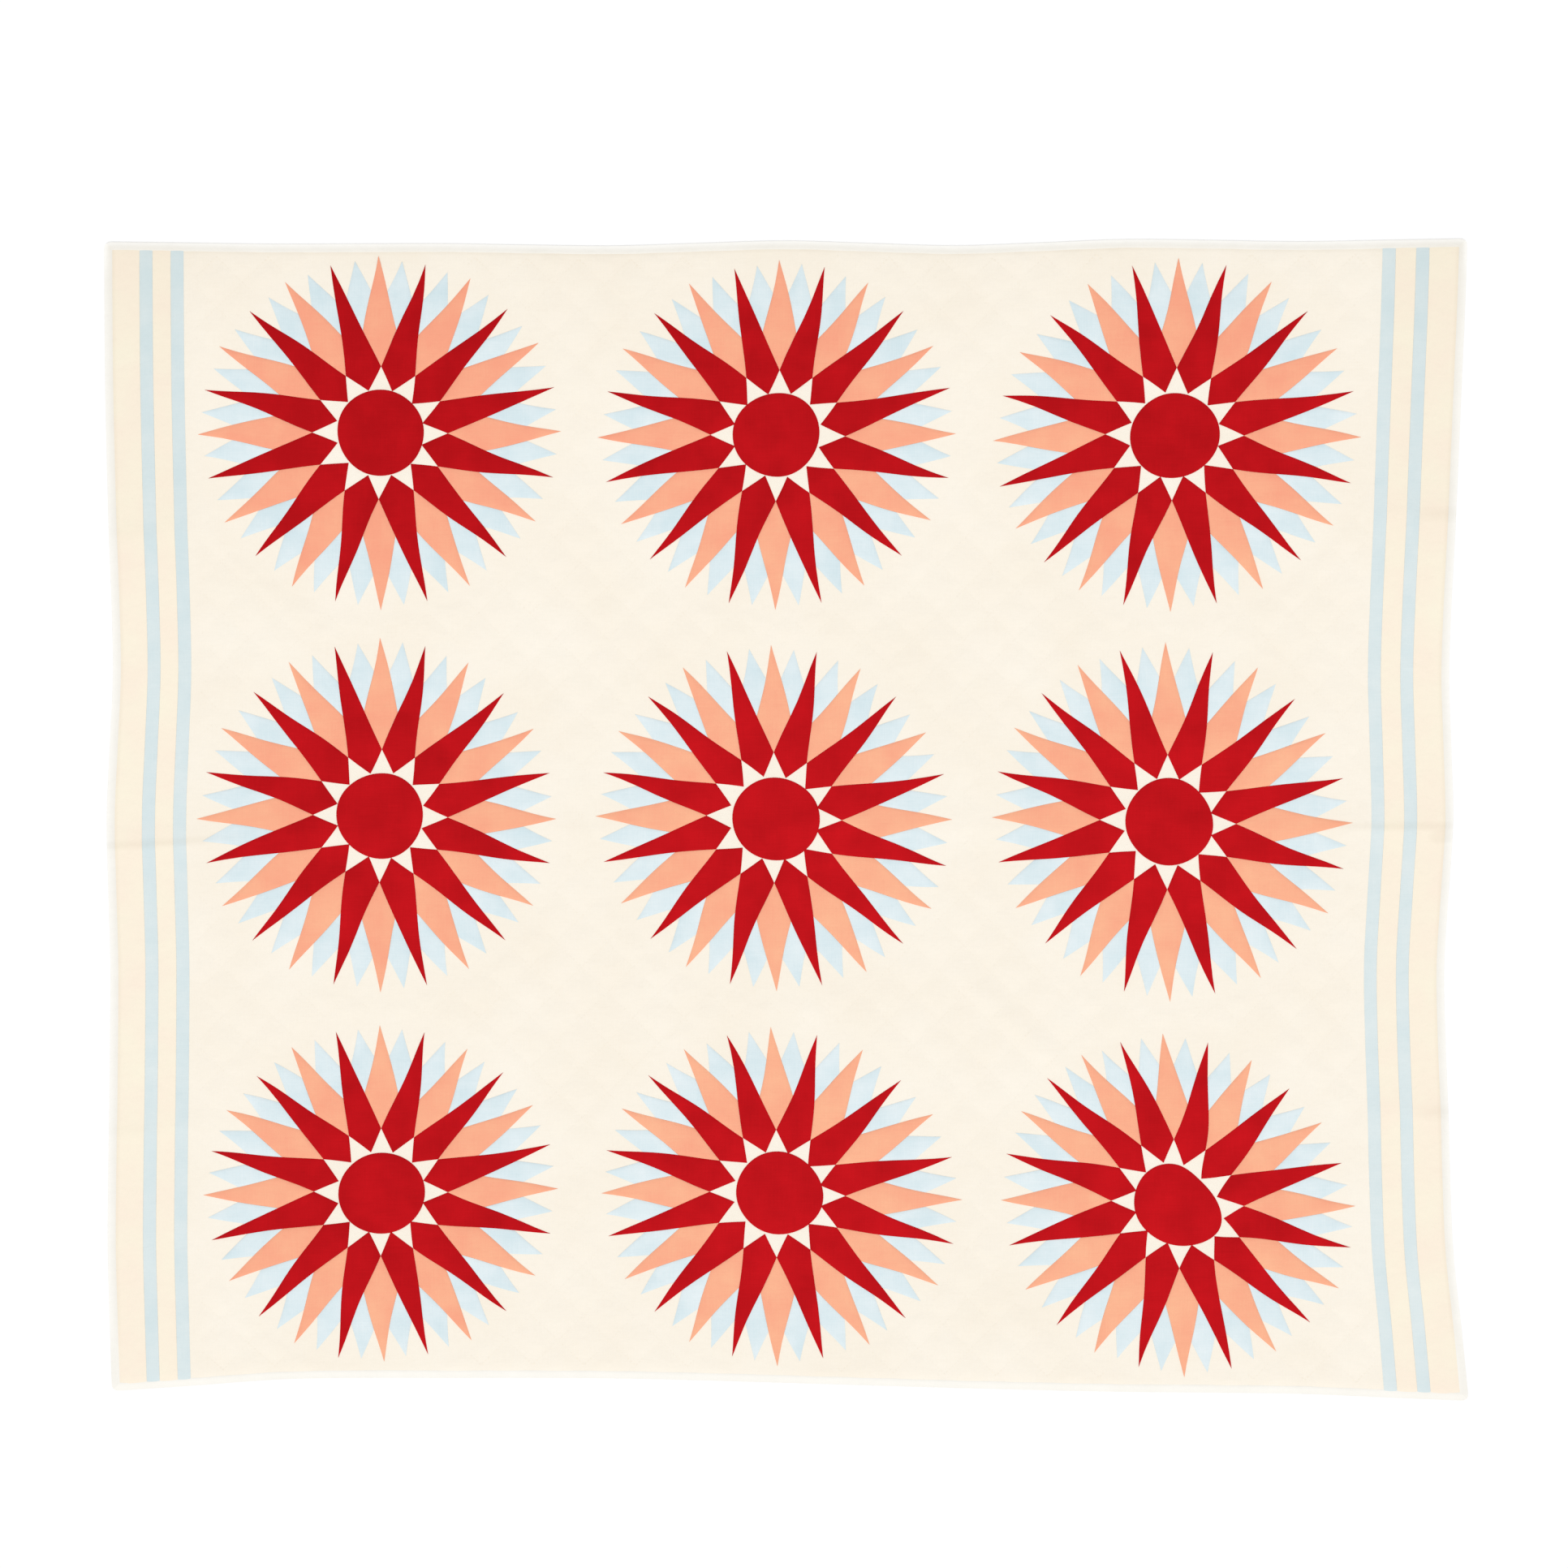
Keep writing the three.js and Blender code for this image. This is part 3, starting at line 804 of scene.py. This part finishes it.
# %% Side strips
STRIPS = {  # inner side off the left edge, off the right edge, and the cloth
    "border": (0.0550, 0.0585, "border_cotton"),
    "stripe_outer": (0.0750, 0.0790, "stripe_cotton"),
    "band": (0.1030, 0.1105, "border_cotton"),
    "stripe_inner": (0.1230, 0.1310, "stripe_cotton"),
}
FIRST_STRIP = 0.0105  # the border starts under the binding
STRIP_CELLS = (6, 220)
STRIP_FOLD, STRIP_CROWN = 0.0004, 0.0003


def sew_strip(name, near, far, from_right):
    """A strip from near to far metres off the left or right edge, from the bottom edge to the top one."""
    piece, unit = new_grid(name, *STRIP_CELLS)
    part = ramp(unit[:, 0], 0, 1)
    near, far = near + SEAM, far - SEAM
    u = near + (far - near) * part
    if from_right:
        u = FLAT_WIDTH - far + (far - near) * part
    v = GROUND_EDGE + (FLAT_LENGTH - 2 * GROUND_EDGE) * unit[:, 1]
    xy = laid(u, v)
    from_side = np.minimum(part, 1 - part) * (far - near)
    strip = PATCH_LIFT + swell(from_side, STRIP_FOLD, STRIP_CROWN)
    move_to(piece, np.column_stack([xy, pressed(u, v) * (GROUND + lie(*xy.T) + strip)]))
    keep_depth(piece, off_edges(u, v)[0])
    back_with_cloth(piece)
    smooth(piece)
    return piece


for side in ("left", "right"):
    near = FIRST_STRIP
    for name, (left_far, right_far, cotton_name) in STRIPS.items():
        far = left_far if side == "left" else right_far
        strip = sew_strip(f"{name}_cloth_{side}", near, far, side == "right")
        pieces[f"{name}_{side}"] = (strip, cotton_name)
        near = far
print("strips:", [name for name in pieces if name.endswith(("left", "right"))])

# %% [markdown]
# ## The binding
# A narrow strip of cloth is folded over the raw edge and sewn down on both faces, which makes a flat
# roll. A grid is rolled into a tube with a flattened oval section, its long edges are merged, and its
# ends are filled. Each tube is shorter at its inner side, so that the four meet in mitres.

# %% Section of the binding
BINDING_WIDTH, BINDING_HEIGHT = 0.014, 0.0036
THIN_EDGES = {"top": 0.55, "bottom": 0.20, "left": 0.20, "right": 0.20}  # share kept at the outer edge
FULL_FROM = 0.013  # the roll has its full height from this depth on
FLATNESS = 2.4  # 2 is an oval, more is nearer to a rectangle


def oval(angle, thin_edge):
    """Depth from the edge and height above the floor, round the section of the roll."""
    power = 2 / FLATNESS
    out, rise = np.cos(angle), np.sin(angle)
    depth = BINDING_WIDTH / 2 * (1 - np.sign(out) * np.abs(out) ** power)
    full = thin_edge + (1 - thin_edge) * ramp(depth, 0, FULL_FROM)
    return depth, full * BINDING_HEIGHT / 2 * (1 + np.sign(rise) * np.abs(rise) ** power)


print("binding:", BINDING_WIDTH, "m wide and", BINDING_HEIGHT, "m high")

# %% [markdown]
# The grid runs round the section one way and along the edge the other way. Where its first and last lines
# meet, the vertices lie on each other and are merged. Then the open ends are selected as the only edges
# with one face, and filled.

# %% Bind the edges
BINDING_CELLS = (20, 260)
MERGE_WITHIN = 1e-6


def on_edge(edge, part, depth):
    """A point of the flat cloth a part of the way along an edge and a depth in from it."""
    level = edge in ("top", "bottom")
    length = FLAT_WIDTH if level else FLAT_LENGTH
    run = depth + part * (length - 2 * depth)
    inward = depth if edge in ("bottom", "left") else (FLAT_LENGTH if level else FLAT_WIDTH) - depth
    return (run, inward) if level else (inward, run)


def bind(edge):
    """One rolled strip along an edge of the quilt."""
    piece, unit = new_grid(f"binding_cloth_{edge}", *BINDING_CELLS)
    depth, height = oval(unit[:, 0] * 2 * math.pi, THIN_EDGES[edge])
    xy = laid(*on_edge(edge, unit[:, 1], depth))
    lift = lie(*xy.T) * height / BINDING_HEIGHT
    move_to(piece, np.column_stack([xy, height + lift]))
    keep_depth(piece, depth)
    with editing(piece):
        bpy.ops.mesh.select_all(action="SELECT")
        bpy.ops.mesh.remove_doubles(threshold=MERGE_WITHIN)
        bpy.ops.mesh.select_all(action="DESELECT")
        bpy.ops.mesh.select_mode(type="EDGE")
        bpy.ops.mesh.select_non_manifold(extend=False)
        bpy.ops.mesh.fill_holes(sides=0)
    face_outwards(piece)
    smooth(piece)
    return piece


for edge in rims:
    pieces[f"binding_{edge}"] = (bind(edge), "binding_cotton")
print("faces of the binding:", [len(pieces[f"binding_{edge}"][0].data.polygons) for edge in rims])

# %% [markdown]
# ## The quilting stitches
# Rows of running stitches cross the bare ground in diamonds. They lie in the rows along which the ground
# is drawn in, and stop where a medallion, a strip or the binding begins. So their places come from the
# same counting in cells, and the laid cloth gives each stitch its direction.

# %% Places of the stitches
STITCH_PITCH = 0.0062
STITCH_OFF_EDGE = 2  # cells: no stitch comes nearer to the ground's edge
BARE_ENOUGH = 0.8  # the share of bare ground from which on it is quilted
LOOK_AHEAD = 0.05  # cells along a row, to find its direction


def stitch_rows():
    """Places in cells along every quilting line, and a small step along it, for both ways of the diamonds."""
    span = (CELLS_ACROSS + CELLS_UP) // 2
    pitch = STITCH_PITCH / cell * math.sqrt(2)
    along = np.arange(-span, span, pitch)
    diamond = 2 * DIAMOND_CELLS
    lines = np.arange(-span // diamond, span // diamond + 1) * diamond
    line, run = (grid.ravel() for grid in np.meshgrid(lines, along, indexing="ij"))
    yield (line + run) / 2, (line - run) / 2, (LOOK_AHEAD, -LOOK_AHEAD)
    yield (run + line) / 2, (run - line) / 2, (LOOK_AHEAD, LOOK_AHEAD)


def quilted(across, up, ahead):
    """Middles and directions, in X and Y, of the stitches of one way that lie on bare ground."""
    inside = np.abs(across) < CELLS_ACROSS / 2 - STITCH_OFF_EDGE
    inside = inside & (np.abs(up) < CELLS_UP / 2 - STITCH_OFF_EDGE)
    across, up = across[inside], up[inside]
    u, v = ground_flat(across, up)
    middle = laid(u, v)
    way = laid(*ground_flat(across + ahead[0], up + ahead[1])) - middle
    way = way / np.linalg.norm(way, axis=1)[:, None]
    on_bare = bare(*middle.T, u, v) > BARE_ENOUGH
    return middle[on_bare], way[on_bare]


falling, rising = (quilted(*row) for row in stitch_rows())
middles, ways = (np.concatenate(both) for both in zip(falling, rising))
print("stitches:", len(middles))

# %% [markdown]
# There are thousands of stitches, so each is only a small lens of eight faces: a fan of four triangles
# with its middle raised, and its mirror image below. An Array modifier makes all the copies in one mesh,
# and the vertices of each copy are then moved to its place in the rows.

# %% Quilting stitches
STITCH_SIZE = (0.0034, 0.0008, 0.0005)
STITCH_LIFT = 0.0001

fan_size = {"vertices": 4, "radius": 0.5, "fill_type": "TRIFAN"}
stitches = added("quilting_stitches", bpy.ops.mesh.primitive_circle_add, **fan_size)
fan = places_of(stitches.data)
fan[:, 2] = fan_size["radius"] - np.hypot(fan[:, 0], fan[:, 1])
move_to(stitches, fan)
add_mirror_image(stitches, (False, False, True), merge=True)
face_outwards(stitches)
lens = places_of(stitches.data) * STITCH_SIZE

copies = stitches.modifiers.new("copies", "ARRAY")
copies.count = len(middles)
copies.use_relative_offset = False
bpy.ops.object.modifier_apply(modifier=copies.name)
sideways = np.column_stack([-ways[:, 1], ways[:, 0]])
flat = middles[:, None] + ways[:, None] * lens[:, :1] + sideways[:, None] * lens[:, 1:2]
height = (GROUND + STITCH_LIFT + lie(*middles.T))[:, None] + lens[:, 2]
move_to(stitches, np.dstack([flat, height]).reshape(-1, 3))
print("faces of all the stitches:", len(stitches.data.polygons))

# %% [markdown]
# ## The cloths
# Every cloth is a plain-woven cotton that has faded and been washed. A small class makes the shader
# readable: it wraps an output of a node, so that sums and products of outputs can be written as such, and
# one method adds any other node.

# %% Shader expressions
MIX_FIRST, MIX_SECOND, MIX_RESULT = 6, 7, 2  # the colour sockets of a Mix node, which share their names


class Wire:
    """An output of a node in a material. Arithmetic on wires adds Math nodes."""

    def __init__(self, tree, output=None):
        self.tree, self.output = tree, output

    def into(self, socket):
        """Link the wire to an input of a node."""
        self.tree.links.new(self.output, socket)

    def node(self, kind, settings, sockets, output=0):
        """Add a node, set it up, then set or link its sockets; gives the named output."""
        fresh = self.tree.nodes.new(kind)
        for name, value in settings.items():
            setattr(fresh, name, value)
        for name, value in sockets.items():
            if isinstance(value, Wire):
                value.into(fresh.inputs[name])
            else:
                fresh.inputs[name].default_value = value
        return Wire(self.tree, fresh.outputs[output])

    def math(self, operation, *values):
        return self.node("ShaderNodeMath", {"operation": operation}, dict(enumerate(values)))

    def __add__(self, other):
        return self.math("ADD", self, other)

    def __sub__(self, other):
        return self.math("SUBTRACT", self, other)

    def __rsub__(self, other):
        return self.math("SUBTRACT", other, self)

    def __mul__(self, other):
        return self.math("MULTIPLY", self, other)

    def __abs__(self):
        return self.math("ABSOLUTE", self)

    __radd__ = __add__
    __rmul__ = __mul__


def mix(factor, first, second, blend="MIX"):
    """The colour between two colours, or another blend of them, by a factor."""
    settings = {"data_type": "RGBA", "blend_type": blend}
    sockets = {"Factor": factor, MIX_FIRST: first, MIX_SECOND: second}
    return factor.node("ShaderNodeMix", settings, sockets, MIX_RESULT)


print("wires can be added, subtracted, multiplied and mixed")

# %% [markdown]
# A fine grey line of painted shade lies along the middle crease, most where it crosses the borders, and
# along the short creases on the borders; the top end is a little greyer. Every piece has its origin at the
# quilt's own, so one mask in Object coordinates serves all the cloths. A line of painted shade also lies
# beside the binding's seam, which waves with the edge, so it is found by the distance from the edge that was
# stored on the vertices. The upper borders are greyer, and a darker spot lies on the right border under the
# middle crease.

# %% Painted shade and greying
FULL_SHADE_AND_GREY = (0.80, 0.78, 0.74)  # what the full painted shade and greying leave of a colour
SHADE_LINES = {  # lines of painted shade: half width, and the share of painted shade in the middle of the line
    "fold": (0.011, 0.27),
    "side": (0.018, 0.20),
    "seam": (0.0070, 0.20),
}
SEAM_DEPTH = 0.0130  # in from the edge
# What changes over the quilt: where that starts and ends along X or Y, and its share before and after.
FOLD_ON_BORDERS = (0.80, 0.92, 0.12, 1)
SIDE_ON_BORDERS = (0.95, 1.00, 0, 1)
SIDE_ON_RIGHT = (-0.1, 0.1, 0.4, 1)
TOP_END = (0.62, 0.88, 0, 0.10)
BORDER_END, ON_BORDERS = (0.30, 0.52, 0, 0.10), (0.88, 0.96, 0, 1)
OFF_BOTTOM = (-0.85, -0.75, 0, 1)  # no painted seam shade and no painted fold highlight along the bottom edge
SPOT = {"at": (1.008, -0.026), "half": (0.026, 0.014), "share": 0.24}


def between(value, start, end, low, high):
    """A smooth change from low to high while the value goes from start to end."""
    sockets = {"Value": value, "From Min": start, "From Max": end, "To Min": low, "To Max": high}
    return value.node("ShaderNodeMapRange", {"interpolation_type": "SMOOTHSTEP"}, sockets)


def line_of(kind, off):
    """A soft line of painted shade, by the distance off its middle."""
    half, share = SHADE_LINES[kind]
    return between(abs(off), 0, half, share, 0)


def shade_and_grey(x, y, depth):
    """How much painted shade and greying darken the quilt at X and Y, and at a depth in from its edge."""
    bend = between(0 - x, BEND_FROM, BEND_TO, 0, BEND_DROP)
    # painted shade along the middle crease, mostly on the borders
    grey = line_of("fold", y + bend - MIDDLE_CREASE["y"]) * between(abs(x), *FOLD_ON_BORDERS)
    # painted shade along the short creases on the borders, weaker on the left
    side = between(abs(x), *SIDE_ON_BORDERS) * between(x, *SIDE_ON_RIGHT)
    for crease in SIDE_CREASES:
        grey = grey + line_of("side", y + bend - crease["y"]) * side
    # painted shade beside the binding's seam, none along the bottom edge
    grey = grey + line_of("seam", depth - SEAM_DEPTH) * between(y, *OFF_BOTTOM)
    # a little greyer towards the top end and on the upper borders
    grey = grey + between(y, *TOP_END) + between(y, *BORDER_END) * between(abs(x), *ON_BORDERS)
    # a darker spot on the right border, just under the middle crease
    aside, along = ((axis - at) * (1 / half) for axis, at, half in zip((x, y), SPOT["at"], SPOT["half"]))
    return grey + between(aside * aside + along * along, 0, 1, SPOT["share"], 0)


print("soil lines:", 1 + len(SIDE_CREASES), "along folds, and one beside the seam")

# %% [markdown]
# A paler band is painted along the outer fold of each binding: a painted highlight on the round fold. It is
# found by the same stored distance. It is strongest along the top, weaker on the sides, and absent at the
# bottom, whose binding has one even tone.

# %% Painted highlight on the binding's fold
FOLD_HIGHLIGHT = (0.975, 0.965, 0.930)
FOLD_HIGHLIGHT_WIDTH = 0.009
FOLD_HIGHLIGHT_SIDES = 0.4
MORE_AT_TOP = (0.83, 0.87, 0, 0.5)


def painted_fold_highlight(fresh, y, depth):
    """The binding's colour, with a painted highlight along its outer fold."""
    share = between(y, *OFF_BOTTOM) * FOLD_HIGHLIGHT_SIDES + between(y, *MORE_AT_TOP)
    # painted highlight: a paler band along the binding's outer fold, strongest at the top, none at the bottom
    return mix(between(depth, 0, FOLD_HIGHLIGHT_WIDTH, 1, 0) * share, fresh, (*FOLD_HIGHLIGHT, 1))


print("the fold is worn", FOLD_HIGHLIGHT_WIDTH, "m wide")

# %% [markdown]
# Dyes fade in the light. The coloured patches have kept more of their dye towards the top of this quilt,
# and a little more towards its left side. A mask over the quilt says how much deeper a patch is there, as
# a part of the way from its pale shade to its deep one. The blue, pale from the start, shows it less.

# %% Kept dye
DEEPER_TOP = (-0.1, 0.9, 0, 0.28)  # along Y
DEEPER_LEFT = (0.0, 0.6, 0, 0.12)  # to the left of the middle


def kept_dye(x, y):
    """How much deeper a dyed cloth is at X and Y than at the bottom right."""
    return between(y, *DEEPER_TOP) + between(0 - x, *DEEPER_LEFT)


print("the top left corner is deeper by", DEEPER_TOP[-1] + DEEPER_LEFT[-1], "of the shades")

# %% [markdown]
# Fine streaks along the two thread directions are the uneven threads of the yarn. The weave itself is a
# bump: the product of two waves rises and falls like threads that pass over and under each other. A
# coarser noise in the same bump is the pucker of washed cotton.

# %% Weave
WARP = {"Scale": (900, 25, 25), "Location": (3.1, 3.1, 0)}
WEFT = {"Scale": (25, 900, 25), "Location": (7.7, 7.7, 0)}
THREAD_PITCH, PUCKER_SIZE = 0.0007, 0.014
THREAD_RISE, STREAK_RISE, PUCKER_RISE = 0.00004, 0.00006, 0.0011  # metres, for the bump


def noise(place, scale, detail=2.0):
    """Soft noise, from 0 to 1."""
    return place.node("ShaderNodeTexNoise", {}, {"Vector": place, "Scale": scale, "Detail": detail}, "Fac")


def streaks(place, threads):
    """Fine noise drawn out along one direction, like threads of uneven thickness."""
    return noise(place.node("ShaderNodeMapping", {}, {"Vector": place, **threads}), 1.0)


def weave(place, x, y, warp, weft):
    """The relief of threads, streaks and puckers, as a normal."""
    over, under = (place.math("SINE", axis * (math.pi / THREAD_PITCH)) for axis in (x, y))
    relief = over * under * THREAD_RISE + (warp + weft) * STREAK_RISE
    relief = relief + noise(place, 1 / PUCKER_SIZE) * PUCKER_RISE
    return place.node("ShaderNodeBump", {}, {"Strength": 1.0, "Distance": 1.0, "Height": relief}, "Normal")


print("threads to a metre:", round(1 / THREAD_PITCH))

# %% [markdown]
# One function makes a cotton from two shades of its colour. Broad soft noise fades it in patches, and the
# streaks shade its threads. A worn cotton has hardly any shine, so its specular level is low.

# %% Cotton
BLOTCH_SPREAD, STREAK_SPREAD = 2.2, 1.1  # noise keeps near its middle, so it is spread out over the shades
BLOTCH_DETAIL = 3.0
MIDDLE = 0.5  # of a noise, and of the way between two shades
ROUGH, ROUGH_BLOTCH, ROUGH_STREAK = 0.80, 0.12, 0.1
SHINE = 0.05


def new_finish(name, shine):
    """A material of low shine, its surface node, and a wire of the place on the piece."""
    material = bpy.data.materials.new(name)
    material.use_nodes = True
    surface = material.node_tree.nodes["Principled BSDF"]
    surface.inputs["Specular IOR Level"].default_value = shine
    return material, surface, Wire(material.node_tree).node("ShaderNodeTexCoord", {}, {}, "Object")


def cotton(name, deep, pale, blotch_size, blotch_share=0.6, highlighted=False, kept=0):
    """A matt plain-woven cotton whose colour wanders between two shades."""
    material, surface, place = new_finish(name, SHINE)
    x, y = (place.node("ShaderNodeSeparateXYZ", {}, {"Vector": place}, axis) for axis in ("X", "Y"))
    depth = place.node("ShaderNodeAttribute", {"attribute_name": "edge_depth"}, {}, "Fac")

    blotch = noise(place, 1 / blotch_size, BLOTCH_DETAIL)
    warp, weft = streaks(place, WARP), streaks(place, WEFT)
    faded = (blotch - MIDDLE) * (BLOTCH_SPREAD * blotch_share)
    uneven = (warp + weft - 2 * MIDDLE) * (STREAK_SPREAD * (1 - blotch_share))
    shade = faded + uneven + MIDDLE
    if kept:
        shade = shade - kept_dye(x, y) * kept
    colour = mix(shade, (*deep, 1), (*pale, 1))
    # painted highlight along the binding's outer fold
    if highlighted:
        colour = painted_fold_highlight(colour, y, depth)
    # the painted shade of the creases and the seam, and the greying, darken the colour
    colour = mix(shade_and_grey(x, y, depth), colour, (*FULL_SHADE_AND_GREY, 1), "MULTIPLY")
    rough = ROUGH + blotch * ROUGH_BLOTCH + (warp - MIDDLE) * ROUGH_STREAK
    looks = {"Base Color": colour, "Roughness": rough, "Normal": weave(place, x, y, warp, weft)}
    for socket, wire in looks.items():
        wire.into(surface.inputs[socket])
    return material


print("specular level of a cotton:", SHINE)

# %% [markdown]
# Seven cottons make up the quilt. Each has its deep and its pale shade, the size of its faded patches in
# metres, and where it differs from the rest, how much of the fading is patchy, whether its outer fold gets a
# painted highlight, and how much of the kept dye it shows.

# %% The seven cottons
COTTONS = {
    "ground_cotton": cotton("cream cotton", (0.880, 0.805, 0.685), (0.920, 0.865, 0.770), 0.16),
    "border_cotton": cotton("border cotton", (0.910, 0.790, 0.665), (0.905, 0.845, 0.690), 0.07, 0.75),
    # the binding gets a painted highlight along its outer fold
    "binding_cotton": cotton("binding cotton", (0.858, 0.834, 0.774), (0.900, 0.877, 0.823), 0.05, highlighted=True),
    "blue_cotton": cotton("pale blue cotton", (0.608, 0.733, 0.774), (0.779, 0.844, 0.864), 0.05, kept=0.4),
    "stripe_cotton": cotton("stripe cotton", (0.625, 0.727, 0.747), (0.726, 0.789, 0.789), 0.05, kept=0.8),
    "peach_cotton": cotton("peach cotton", (0.885, 0.356, 0.228), (0.920, 0.479, 0.291), 0.06, kept=1),
    "red_cotton": cotton("red cotton", (0.409, 0.0037, 0.0066), (0.590, 0.0068, 0.0116), 0.06, kept=1),
}
print("cottons:", list(COTTONS))

# %% [markdown]
# The floor is plain and nearly white. It gets a trace of mottling in its sheen, because a perfectly even
# floor looks painted on, and so little of it that it stays white in the picture.

# %% Floor finish
FLOOR_WHITE = 0.96
FLOOR_ROUGH, FLOOR_MOTTLE = 0.85, 0.06
FLOOR_SHINE = 0.1
MOTTLES = 3.0  # to a metre

plain, floor_surface, spot = new_finish("plain floor", FLOOR_SHINE)
floor_surface.inputs["Base Color"].default_value = (FLOOR_WHITE, FLOOR_WHITE, FLOOR_WHITE, 1)
mottled = noise(spot, MOTTLES) * FLOOR_MOTTLE + FLOOR_ROUGH
mottled.into(floor_surface.inputs["Roughness"])
floor.data.materials.append(plain)
print("floor finished in", plain.name)

# %% [markdown]
# ## Cloths on the body
# Every piece now gets its cloth, rides on the quilt's one body and stands for its solid. The whole quilt
# is one laid sheet: the ground stands for the quilt's body, and all that is sewn to it rides on the same
# body.

pieces["quilt_body"] = (ground, "ground_cotton")
for node, (piece, cotton_name) in pieces.items():
    piece.data.materials.clear()
    piece.data.materials.append(COTTONS[cotton_name])
    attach(piece, "root")
    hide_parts(node)
stitches.data.materials.append(COTTONS["ground_cotton"])
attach(stitches, "root")

sewn_to_ground = [piece for piece, _ in pieces.values() if piece is not ground] + [stitches]
